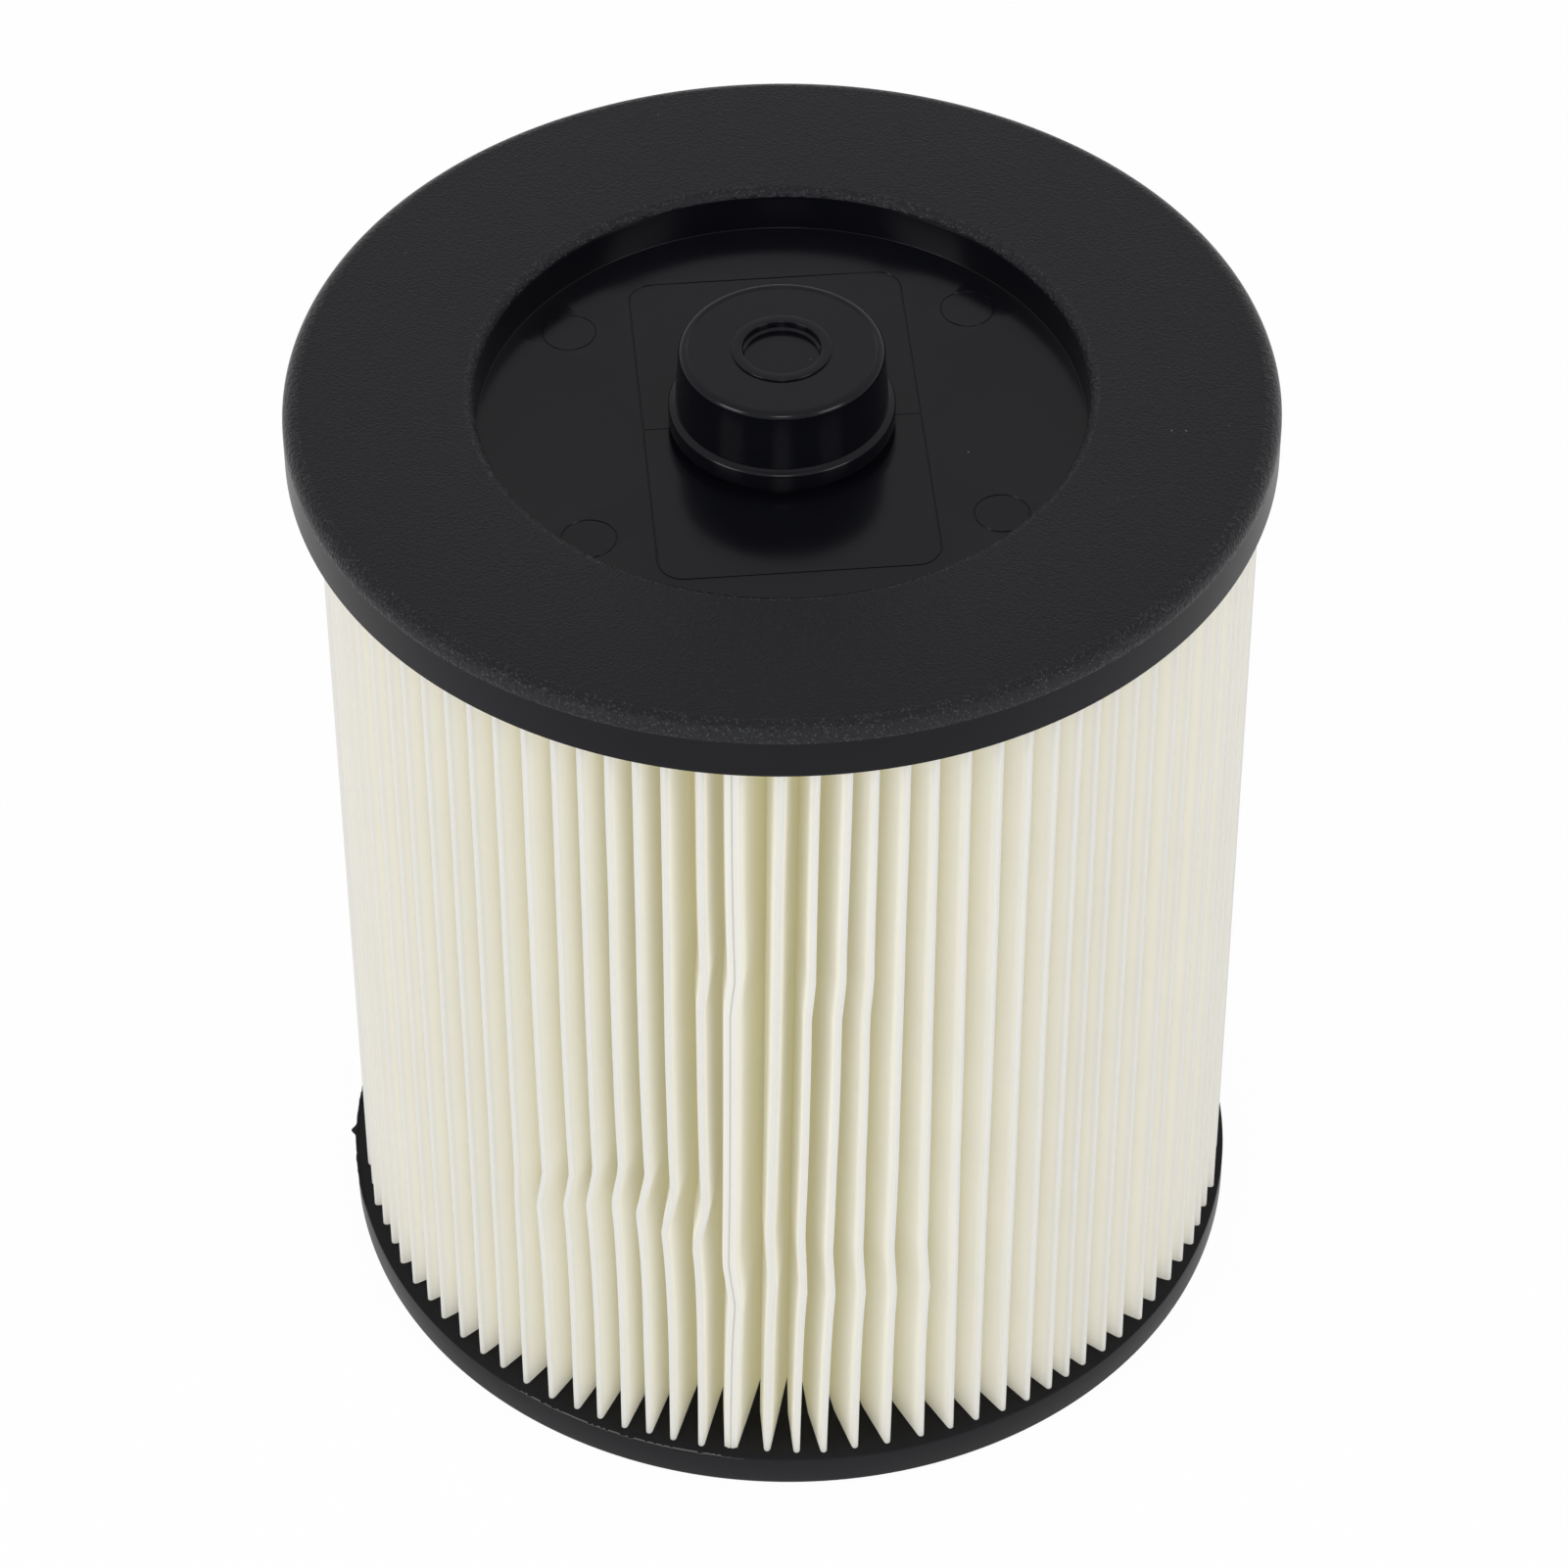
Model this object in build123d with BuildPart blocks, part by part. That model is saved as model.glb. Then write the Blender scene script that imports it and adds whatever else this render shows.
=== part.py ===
from build123d import *
import os
from math import cos, pi, radians, sin

# Pleated cartridge filter for a wet and dry vacuum cleaner: a closed moulded cap, a pack of folded
# paper round a slotted support cage, and a cast ring whose wide bore slips over the machine's float.
# +Z is up, the origin is the middle of the ring's flat underside, and sizes are in millimetres.

os.makedirs("parts", exist_ok=True)

# Cast ring, from its bore outwards
bore_radius = 60.0
bore_land = 3.1
tip_margin = 1.6
ring_thickness = 7.0
ring_edge_break = 0.8
bore_lead_in = 1.5

# Support cage
cage_wall = 1.6
cage_seat = 3.0
seat_gap = 0.1
cage_bar_width = 5.0
cage_hoop_height = 7.0
cage_columns = 16
cage_rows = 2

# Folded paper
fold_gap = 0.3
pleat_depth = 18.4
pleat_count = 96
paper_thickness = 0.65
media_length = 181.8
seam_angle = -7.3
seam_slit = 0.25

# Cap
cap_overhang = 2.5
cap_wall = 2.2
skirt_height = 10.6
rim_round = 3.0
rim_flat_count = 3
recess_inset = 6.2
recess_depth = 8.4
lip_round = 1.9
small_edge_flat_count = 2
potting_depth = 6.0

# Boss in the recess
socket_radius = 15.9
boss_wall = 2.2
boss_taper = 0.7
boss_height = 17.0
boss_round = 1.3
collar_step = 1.2
collar_height = 3.2
collar_slope = 0.5
neck_undercut = 0.4
neck_height = 1.6
top_rim_width = 0.4
top_dish = 0.3
gate_ring_radius = 8.8
gate_ring_width = 1.9
gate_ring_height = 0.4
gate_well_depth = 1.3

# Radii that follow, from the bore to the rim
cage_inner_radius = bore_radius + bore_land
cage_outer_radius = cage_inner_radius + cage_wall
fold_radius = cage_outer_radius + fold_gap
tip_radius = fold_radius + pleat_depth
ring_radius = tip_radius + tip_margin
cap_radius = ring_radius + cap_overhang
recess_radius = bore_radius - recess_inset
channel_inner_radius = recess_radius + cap_wall
channel_outer_radius = cap_radius - cap_wall

# Heights that follow, from the underside to the top
media_top = ring_thickness + media_length
channel_roof = media_top + potting_depth
cap_top = channel_roof + cap_wall
skirt_bottom = cap_top - skirt_height
recess_floor = cap_top - recess_depth
floor_underside = recess_floor - cap_wall

# Boss sizes that follow
boss_top_radius = socket_radius + boss_wall
boss_base_radius = boss_top_radius + boss_taper
neck_radius = boss_base_radius - neck_undercut
collar_radius = boss_base_radius + collar_step
collar_bottom = recess_floor + neck_height
collar_top = collar_bottom + collar_height
boss_top = recess_floor + boss_height
plateau = boss_top - top_dish
plateau_radius = boss_top_radius - boss_round - top_rim_width
gate_ring_inner_radius = gate_ring_radius - gate_ring_width
gate_ring_top = plateau + gate_ring_height
gate_well = plateau - gate_well_depth
socket_roof = gate_well - cap_wall


def eased_edge(corner, reach, flat_count):
    """Points down a round edge, from its top face to its side.

    A positive reach eases an edge whose material lies nearer the axis, a negative one the other side.
    """
    radius, height = corner
    points = []
    for step in range(flat_count + 1):
        turn = radians(90 * step / flat_count)
        points.append((radius - reach * (1 - sin(turn)), height - abs(reach) * (1 - cos(turn))))
    return points


# Cap: one moulding, turned from its half section
with BuildPart() as top_cap:
    with BuildSketch(Plane.XZ):
        with BuildLine():
            Polyline(
                (0, gate_well),
                (gate_ring_inner_radius, gate_well),
                (gate_ring_inner_radius, gate_ring_top),
                (gate_ring_radius, gate_ring_top),
                (gate_ring_radius, plateau),
                (plateau_radius, plateau),
                (plateau_radius + top_dish, boss_top),
                *eased_edge((boss_top_radius, boss_top), boss_round, small_edge_flat_count),
                (boss_base_radius, collar_top + collar_slope),
                (collar_radius, collar_top),
                (collar_radius, collar_bottom),
                (neck_radius, collar_bottom),
                (neck_radius, recess_floor),
                (recess_radius, recess_floor),
                *reversed(eased_edge((recess_radius, cap_top), -lip_round, small_edge_flat_count)),
                *eased_edge((cap_radius, cap_top), rim_round, rim_flat_count),
                (cap_radius, skirt_bottom),
                (channel_outer_radius, skirt_bottom),
                (channel_outer_radius, channel_roof),
                (channel_inner_radius, channel_roof),
                (channel_inner_radius, floor_underside),
                (socket_radius, floor_underside),
                (socket_radius, socket_roof),
                (0, socket_roof),
                close=True,
            )
        make_face()
    revolve(axis=Axis.Z)
top_cap.part.label = "top_cap"
export_step(top_cap.part, "parts/top_cap.step")

# Adhesive that fills the channel under the cap
with BuildPart() as top_potting:
    with BuildSketch(Plane.XY.offset(media_top)):
        Circle(channel_outer_radius - seat_gap)
        Circle(channel_inner_radius + seat_gap, mode=Mode.SUBTRACT)
    extrude(amount=potting_depth)
top_potting.part.label = "top_potting"
export_step(top_potting.part, "parts/top_potting.step")

# Cast ring under the pleats, with a groove that takes the foot of the cage
with BuildPart() as bottom_ring:
    with BuildSketch():
        Circle(ring_radius)
        Circle(bore_radius, mode=Mode.SUBTRACT)
    extrude(amount=ring_thickness)
    underside_edges = bottom_ring.faces().sort_by(Axis.Z)[0].edges().sort_by(SortBy.RADIUS)
    chamfer(underside_edges[0], bore_lead_in)
    chamfer(underside_edges[-1], ring_edge_break)
    with BuildSketch(Plane.XY.offset(ring_thickness)):
        Circle(cage_outer_radius + seat_gap)
        Circle(cage_inner_radius - seat_gap, mode=Mode.SUBTRACT)
    extrude(amount=-cage_seat, mode=Mode.SUBTRACT)
bottom_ring.part.label = "bottom_ring"
export_step(bottom_ring.part, "parts/bottom_ring.step")

# Support cage: a tube with rows of slots between its hoops
with BuildPart() as support_cage:
    with BuildSketch(Plane.XY.offset(ring_thickness - cage_seat)):
        Circle(cage_outer_radius)
        Circle(cage_inner_radius, mode=Mode.SUBTRACT)
    extrude(amount=media_length + cage_seat)
    slot_height = (media_length - (cage_rows + 1) * cage_hoop_height) / cage_rows
    slot_width = 2 * pi * cage_inner_radius / cage_columns - cage_bar_width
    slot_reach = 4 * cage_wall
    slot_pitch = slot_height + cage_hoop_height
    first_slot = ring_thickness + cage_hoop_height + slot_height / 2
    with Locations([(0, 0, first_slot + row * slot_pitch) for row in range(cage_rows)]):
        with PolarLocations(cage_inner_radius + cage_wall / 2, cage_columns):
            Box(slot_reach, slot_width, slot_height, mode=Mode.SUBTRACT)
support_cage.part.label = "support_cage"
export_step(support_cage.part, "parts/support_cage.step")

# Folded paper: a fold is blunt outside and a sharp crease inside
half_pitch = radians(180 / pleat_count)
tip_centre = tip_radius - paper_thickness
tip_flat = paper_thickness / 2
crease_radius = fold_radius + paper_thickness
crease_point = (crease_radius * cos(half_pitch), crease_radius * sin(half_pitch))
flank_run = tip_centre - crease_point[0]
flank_rise = crease_point[1] - paper_thickness
inner_rise_per_run = flank_rise / flank_run
land_radial = fold_radius * cos(half_pitch)
land_point = (land_radial, (tip_centre - land_radial) * inner_rise_per_run)
fold_point = (land_radial, fold_radius * sin(half_pitch))

with BuildSketch(mode=Mode.PRIVATE) as one_pleat:
    with BuildLine():
        Polyline(
            (tip_radius, 0),
            (tip_radius, tip_flat),
            (tip_centre, paper_thickness),
            crease_point,
            fold_point,
            land_point,
            (tip_centre, 0),
        )
        mirror(about=Plane.XZ)
    make_face()

with BuildPart() as pleated_media:
    with BuildSketch(Plane.XY.offset(ring_thickness)):
        with PolarLocations(0, pleat_count, start_angle=seam_angle - 90):
            add(one_pleat.sketch)
        with PolarLocations(tip_radius, 1, start_angle=seam_angle - 90):
            Rectangle(pleat_depth, seam_slit, mode=Mode.SUBTRACT)
    extrude(amount=media_length)
pleated_media.part.label = "pleated_media"
export_step(pleated_media.part, "parts/pleated_media.step")
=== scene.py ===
"""Dresses a pleated cartridge filter: black moulded cap, cream folded paper and a black cast ring.

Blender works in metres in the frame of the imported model. Sizes are fields in millimetres, and MM turns
them into metres where a mesh is made. Angles round the filter are in degrees from the front, -Y, towards +X.
"""

import logging
import math
from dataclasses import dataclass, field
from enum import Enum
from typing import Iterable, Sequence, Union

import bmesh
import bpy
from mathutils import Matrix, Vector


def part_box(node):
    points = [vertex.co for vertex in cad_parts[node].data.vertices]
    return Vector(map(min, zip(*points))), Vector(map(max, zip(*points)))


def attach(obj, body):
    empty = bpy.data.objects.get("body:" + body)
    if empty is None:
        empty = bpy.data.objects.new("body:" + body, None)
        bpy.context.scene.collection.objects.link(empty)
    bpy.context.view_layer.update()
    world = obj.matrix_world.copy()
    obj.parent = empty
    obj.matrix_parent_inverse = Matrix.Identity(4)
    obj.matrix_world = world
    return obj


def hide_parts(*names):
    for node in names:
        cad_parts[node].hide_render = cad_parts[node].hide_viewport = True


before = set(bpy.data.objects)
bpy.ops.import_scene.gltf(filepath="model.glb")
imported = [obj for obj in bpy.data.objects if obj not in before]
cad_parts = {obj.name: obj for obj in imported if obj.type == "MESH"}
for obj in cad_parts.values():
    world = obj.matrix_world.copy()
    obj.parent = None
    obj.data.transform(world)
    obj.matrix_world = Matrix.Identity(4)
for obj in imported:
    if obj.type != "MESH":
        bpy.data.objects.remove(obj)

LOG = logging.getLogger("filter")
MM = 0.001
ROOT = "root"
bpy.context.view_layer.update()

Tree = bpy.types.NodeTree
Node = bpy.types.Node
Socket = bpy.types.NodeSocket
Piece = bpy.types.Object
Material = bpy.types.Material
Point = tuple[float, float]
Colour = tuple[float, float, float]
Term = Union["Wire", float]

BLACK: Colour = (0.0, 0.0, 0.0)
WHITE: Colour = (1.0, 1.0, 1.0)
PALE_SPECK: Colour = (0.30, 0.30, 0.30)
# Dim grey dots that paint glints on the cap's rounded edges.
EDGE_PAINTED_GLINT: Colour = (0.036, 0.037, 0.040)

# The paper's mark runs from 0 in a fold to CREST_START where the round tip begins, and to 1 on its middle.
TIP_NEARNESS = "tip_nearness"
CREST_START = 0.95


class Zone(Enum):
    """Parts of the cap's surface that left the mould with different finishes."""

    GRAINED = 0
    GLOSSY = 1
    SATIN = 2
    EDGE = 3


class Side(Enum):
    """Which way an eased edge turns: with its material nearer the axis, or further out."""

    INWARD = 1
    OUTWARD = -1


@dataclass
class Wire:
    """A number inside a node tree that takes part in plain arithmetic.

    Attributes:
        tree: The node tree that holds the number.
        socket: The output socket that carries it.
    """

    tree: Tree
    socket: Socket

    def apply(self, operation: str, *terms: Term) -> "Wire":
        """Runs one math node on this number.

        Args:
            operation: The math node's operation.
            terms: The node's further inputs.

        Returns:
            The node's result.
        """
        node = self.tree.nodes.new("ShaderNodeMath")
        node.operation = operation
        for slot, term in zip(node.inputs, (self, *terms)):
            feed(self.tree, slot, term)
        return Wire(self.tree, node.outputs[0])

    def __add__(self, other: Term) -> "Wire":
        """Adds."""
        return self.apply("ADD", other)

    __radd__ = __add__

    def __sub__(self, other: Term) -> "Wire":
        """Subtracts."""
        return self.apply("SUBTRACT", other)

    def __rsub__(self, other: Term) -> "Wire":
        """Subtracts this number from another."""
        return self.apply("MULTIPLY_ADD", -1.0, other)

    def __mul__(self, other: Term) -> "Wire":
        """Multiplies."""
        return self.apply("MULTIPLY", other)

    __rmul__ = __mul__

    def __truediv__(self, other: Term) -> "Wire":
        """Divides."""
        return self.apply("DIVIDE", other)

    def limited(self) -> "Wire":
        """Keeps the number between 0 and 1."""
        return self.apply("MAXIMUM", 0.0).apply("MINIMUM", 1.0)

    def between(self, low: Term, high: Term) -> "Wire":
        """Uses the number as a share of the way from low to high."""
        return self * (high - low) + low

    def fading(self) -> "Wire":
        """The natural exponential of the negative of this number."""
        return self.apply("MULTIPLY", -1.0).apply("EXPONENT")

    def eased(self, low: float, high: float) -> "Wire":
        """Rises smoothly with this number.

        Args:
            low: Where the rise starts, at 0.
            high: Where it ends, at 1.

        Returns:
            The eased number.
        """
        node = self.tree.nodes.new("ShaderNodeMapRange")
        node.interpolation_type = "SMOOTHSTEP"
        feed_all(self.tree, node, Value=self, From_Min=low, From_Max=high)
        return Wire(self.tree, node.outputs["Result"])


def feed(tree: Tree, slot: Socket, term: object) -> None:
    """Links a wire or an output socket to an input, or sets the input's value.

    Args:
        tree: The tree that both belong to.
        slot: The input socket.
        term: A wire, an output socket or a plain value.
    """
    if isinstance(term, Wire):
        tree.links.new(term.socket, slot)
    elif isinstance(term, Socket):
        tree.links.new(term, slot)
    else:
        slot.default_value = term


def feed_all(tree: Tree, node: Node, **inputs: object) -> Node:
    """Feeds a node's inputs by name.

    Args:
        tree: The node's tree.
        node: The node.
        inputs: Input names, with underscores for spaces, and what feeds them.

    Returns:
        The same node.
    """
    for name, term in inputs.items():
        feed(tree, node.inputs[name.replace("_", " ")], term)
    return node


def add_node(tree: Tree, kind: str, **inputs: object) -> Node:
    """Adds a node of a kind and feeds its inputs, named as in feed_all."""
    return feed_all(tree, tree.nodes.new(kind), **inputs)


def output_of(tree: Tree, kind: str, **inputs: object) -> Socket:
    """Adds a node as add_node does, and gives its first output."""
    return add_node(tree, kind, **inputs).outputs[0]


def vector(tree: Tree, x: Term = 0.0, y: Term = 0.0, z: Term = 0.0) -> Socket:
    """Joins three numbers into a vector."""
    return output_of(tree, "ShaderNodeCombineXYZ", X=x, Y=y, Z=z)


def noise(tree: Tree, place: Socket, scale: Term, detail: float, roughness: float = 0.5) -> Wire:
    """Plain noise between 0 and 1 at a place."""
    inputs = {"Vector": place, "Scale": scale, "Detail": detail, "Roughness": roughness}
    return Wire(tree, output_of(tree, "ShaderNodeTexNoise", **inputs))


def titled(owner: object, names: Iterable[str]) -> dict[str, float]:
    """An owner's numbers under the names of node inputs, such as Fold Radius for fold_radius."""
    return {name.replace("_", " ").title(): float(getattr(owner, name)) for name in names}


def add_inputs(tree: Tree, names: Iterable[str]) -> dict[str, Wire]:
    """Declares a geometry tree's number inputs and its material input.

    Args:
        tree: The geometry tree.
        names: The numbers' names.

    Returns:
        The inputs as wires, by name.
    """
    kinds = {**dict.fromkeys(names, "NodeSocketFloat"), "Material": "NodeSocketMaterial"}
    for name, kind in kinds.items():
        tree.interface.new_socket(name=name, in_out="INPUT", socket_type=kind)
    node = tree.nodes.new("NodeGroupInput")
    return {name: Wire(tree, node.outputs[name]) for name in kinds}


def unit_slab(tree: Tree, *counts: int) -> tuple[Socket, list[Wire]]:
    """Adds a closed slab of unit size that is to be bent.

    Args:
        tree: The geometry tree.
        counts: How many points lie along each axis.

    Returns:
        The slab, and how far along each axis a point lies, from 0 to 1.
    """
    points = {f"Vertices_{axis}": count for axis, count in zip("XYZ", counts)}
    slab = output_of(tree, "GeometryNodeMeshCube", Size=(1.0, 1.0, 1.0), **points)
    place = output_of(tree, "GeometryNodeInputPosition")
    split = add_node(tree, "ShaderNodeSeparateXYZ", Vector=place)
    return slab, [Wire(tree, split.outputs[axis]) + 0.5 for axis in "XYZ"]


def moved(tree: Tree, geometry: Socket, x: Wire, y: Wire, z: Wire) -> Socket:
    """Moves each point of a geometry to a place in millimetres."""
    place = vector(tree, x * MM, y * MM, z * MM)
    return output_of(tree, "GeometryNodeSetPosition", Geometry=geometry, Position=place)


def finish_tree(tree: Tree, geometry: Socket, material: Wire) -> None:
    """Ends a geometry tree in Realize Instances and Set Material.

    Args:
        tree: The geometry tree.
        geometry: The geometry made so far.
        material: The tree's material input.
    """
    tree.interface.new_socket(name="Geometry", in_out="OUTPUT", socket_type="NodeSocketGeometry")
    plain = output_of(tree, "GeometryNodeRealizeInstances", Geometry=geometry)
    dressed = output_of(tree, "GeometryNodeSetMaterial", Geometry=plain, Material=material)
    add_node(tree, "NodeGroupOutput", Geometry=dressed)


def grow(name: str, tree: Tree, values: dict[str, object], sharp: float) -> Piece:
    """Runs a geometry tree and keeps its result as a plain mesh.

    Args:
        name: The new object's name.
        tree: The geometry tree.
        values: The tree's inputs by name.
        sharp: The turn in degrees past which an edge is drawn sharp.

    Returns:
        An object at the origin, with no modifier left on it.
    """
    piece = add_object(name, bpy.data.meshes.new(name))
    modifier = piece.modifiers.new("Tree", "NODES")
    modifier.node_group = tree
    for item in tree.interface.items_tree:
        if item.in_out == "INPUT" and item.name in values:
            modifier[item.identifier] = values[item.name]
    flatten(piece, sharp)
    return piece


def add_object(name: str, data: bpy.types.ID) -> Piece:
    """Puts a mesh, a lamp or a camera into the scene.

    Args:
        name: The new object's name.
        data: What it shows.

    Returns:
        The object, at the origin.
    """
    piece = bpy.data.objects.new(name, data)
    bpy.context.collection.objects.link(piece)
    return piece


def flatten(piece: Piece, sharp: float) -> None:
    """Turns an object and its modifiers into a plain smooth mesh.

    Args:
        piece: The object, whose modifiers are then removed.
        sharp: The turn in degrees past which an edge is drawn sharp.
    """
    graph = bpy.context.evaluated_depsgraph_get()
    mesh = bpy.data.meshes.new_from_object(piece.evaluated_get(graph))
    piece.modifiers.clear()
    piece.data = mesh
    mesh.polygons.foreach_set("use_smooth", [True] * len(mesh.polygons))
    mesh.set_sharp_from_angle(angle=math.radians(sharp))


def keep(piece: Piece, slot: str, *nodes: str) -> None:
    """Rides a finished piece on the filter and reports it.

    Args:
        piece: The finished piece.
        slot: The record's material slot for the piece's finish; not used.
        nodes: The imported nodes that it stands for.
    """
    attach(piece, ROOT)
    if nodes:
        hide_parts(*nodes)
    LOG.info("%s: %d faces", piece.name, len(piece.data.polygons))


def eased_edge(corner: Point, size: float, side: Side, steps: int) -> list[Point]:
    """Points down a round edge, from its top face to its side.

    Args:
        corner: Radius and height of the corner before it is eased.
        size: The rounding's radius.
        side: Where the material lies.
        steps: How many straight steps stand for the arc.

    Returns:
        The points, as radius and height.
    """
    radius, height = corner
    points = []
    for step in range(steps + 1):
        turn = math.radians(90 * step / steps)
        inset = side.value * size * (1 - math.sin(turn))
        points.append((radius - inset, height - size * (1 - math.cos(turn))))
    return points


def mirrored(points: Sequence[Point], level: float) -> list[Point]:
    """Turns points of a section upside down about a height, in the same order."""
    return [(radius, 2 * level - height) for radius, height in points]


def lathe(name: str, section: Sequence[Point], segments: int) -> Piece:
    """Turns a closed half section round the upright axis.

    Args:
        name: The new object's name.
        section: Radius and height of each corner in millimetres; points at radius 0 become poles.
        segments: How many steps go round.

    Returns:
        A closed mesh object at the origin.
    """
    shell = bmesh.new()
    rings = []
    for radius, height in section:
        if radius == 0:
            rings.append([shell.verts.new((0, 0, height * MM))] * segments)
            continue
        ring = []
        for step in range(segments):
            turn = 2 * math.pi * step / segments
            place = (radius * math.cos(turn) * MM, radius * math.sin(turn) * MM, height * MM)
            ring.append(shell.verts.new(place))
        rings.append(ring)
    for lower, upper in zip(rings, rings[1:] + rings[:1]):
        for step in range(segments):
            after = (step + 1) % segments
            corners = list(dict.fromkeys([lower[step], lower[after], upper[after], upper[step]]))
            if len(corners) > 2:
                shell.faces.new(corners)
    bmesh.ops.recalc_face_normals(shell, faces=shell.faces)
    mesh = bpy.data.meshes.new(name)
    shell.to_mesh(mesh)
    shell.free()
    return add_object(name, mesh)


class Effects:
    """Shader node groups that more than one finish uses, each built once.

    Patches are counted per metre. The grit's fineness is a multiple of the grain's, and the rest are shares.
    """

    GRIT_FINENESS = 1.7
    GRIT_SHARE = 0.6
    PATCHES = 45.0
    SMALLEST_SPECK = 0.35

    @staticmethod
    def _open(name: str, inputs: Sequence[str], outputs: Sequence[str]) -> tuple[Tree, list[Wire], Socket]:
        """Starts a shader group from numbers to numbers.

        Args:
            name: The group's name.
            inputs: Its inputs' names.
            outputs: Its outputs' names.

        Returns:
            The group, its inputs, and the place in the piece's own coordinates.
        """
        tree = bpy.data.node_groups.new(name, "ShaderNodeTree")
        for way, labels in (("OUTPUT", outputs), ("INPUT", inputs)):
            for label in labels:
                tree.interface.new_socket(name=label, in_out=way, socket_type="NodeSocketFloat")
        group = tree.nodes.new("NodeGroupInput")
        place = tree.nodes.new("ShaderNodeTexCoord").outputs["Object"]
        return tree, [Wire(tree, group.outputs[label]) for label in inputs], place

    @classmethod
    def grain(cls) -> Tree:
        """The fine pebbled skin of a spark-eroded mould.

        Returns:
            A group from Size, in grains per metre, to Height and Patch, a slow change of gloss.
        """
        tree, (size,), place = cls._open("Mould Grain", ["Size"], ["Height", "Patch"])
        pebbles = add_node(tree, "ShaderNodeTexVoronoi", Vector=place, Scale=size)
        pebbles.feature = "SMOOTH_F1"
        pebble = Wire(tree, pebbles.outputs["Distance"])
        grit = noise(tree, place, size * cls.GRIT_FINENESS, 3.0)
        height = grit * cls.GRIT_SHARE + pebble * (1 - cls.GRIT_SHARE)
        add_node(tree, "NodeGroupOutput", Height=height, Patch=noise(tree, place, cls.PATCHES, 2.0))
        return tree

    @classmethod
    def specks(cls) -> Tree:
        """Sparse specks: pale ones of dust and scuffed points, and dim ones that paint glints on the cap's
        edges.

        Returns:
            A group from Spacing, in cells per metre, Share, of cells with a speck, and Reach, the largest
            speck's radius as a part of its cell, to Mask.
        """
        tree, (spacing, share, reach), place = cls._open("Specks", ["Spacing", "Share", "Reach"], ["Mask"])
        cells = add_node(tree, "ShaderNodeTexVoronoi", Vector=place, Scale=spacing)
        chance = add_node(tree, "ShaderNodeSeparateColor", Color=cells.outputs["Color"])
        chosen = share.apply("GREATER_THAN", Wire(tree, chance.outputs["Red"]))
        reach = Wire(tree, chance.outputs["Green"]).between(cls.SMALLEST_SPECK, 1.0) * reach
        near = reach.apply("GREATER_THAN", Wire(tree, cells.outputs["Distance"]))
        add_node(tree, "NodeGroupOutput", Mask=chosen * near)
        return tree


def new_material(name: str) -> tuple[Material, Tree, Node]:
    """Starts a material.

    Args:
        name: The material's name.

    Returns:
        The material, its tree and its shader.
    """
    material = bpy.data.materials.new(name)
    material.use_nodes = True
    tree = material.node_tree
    return material, tree, tree.nodes["Principled BSDF"]


def place_group(tree: Tree, group: Tree, **inputs: float) -> Node:
    """Puts a shared group into a material.

    Args:
        tree: The material's tree.
        group: The shared group.
        inputs: The values that the group takes here.

    Returns:
        The group's node.
    """
    node = tree.nodes.new("ShaderNodeGroup")
    node.node_tree = group
    return feed_all(tree, node, **inputs)


def mixed_colour(tree: Tree, share: object, low: object, high: object) -> Socket:
    """Mixes two colours, each a plain colour or a socket.

    Args:
        tree: The material's tree.
        share: Wire or socket with the share of the second colour.
        low: The first colour.
        high: The second colour.

    Returns:
        The mixed colour's socket.
    """
    node = tree.nodes.new("ShaderNodeMix")
    node.data_type = "RGBA"
    slots = [slot for slot in node.inputs if slot.type == "RGBA"]
    feed(tree, node.inputs[0], share)
    for slot, colour in zip(slots, (low, high)):
        feed(tree, slot, colour if isinstance(colour, Socket) else (*colour, 1.0))
    return next(slot for slot in node.outputs if slot.type == "RGBA")


def scaled_colour(tree: Tree, colour: object, tone: Wire) -> Socket:
    """Makes a colour lighter or darker.

    Args:
        tree: The material's tree.
        colour: A plain colour or a socket.
        tone: The number to multiply it by.

    Returns:
        The scaled colour's socket.
    """
    node = tree.nodes.new("ShaderNodeVectorMath")
    node.operation = "SCALE"
    feed(tree, node.inputs[0], colour)
    feed(tree, node.inputs["Scale"], tone)
    return node.outputs[0]


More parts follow.
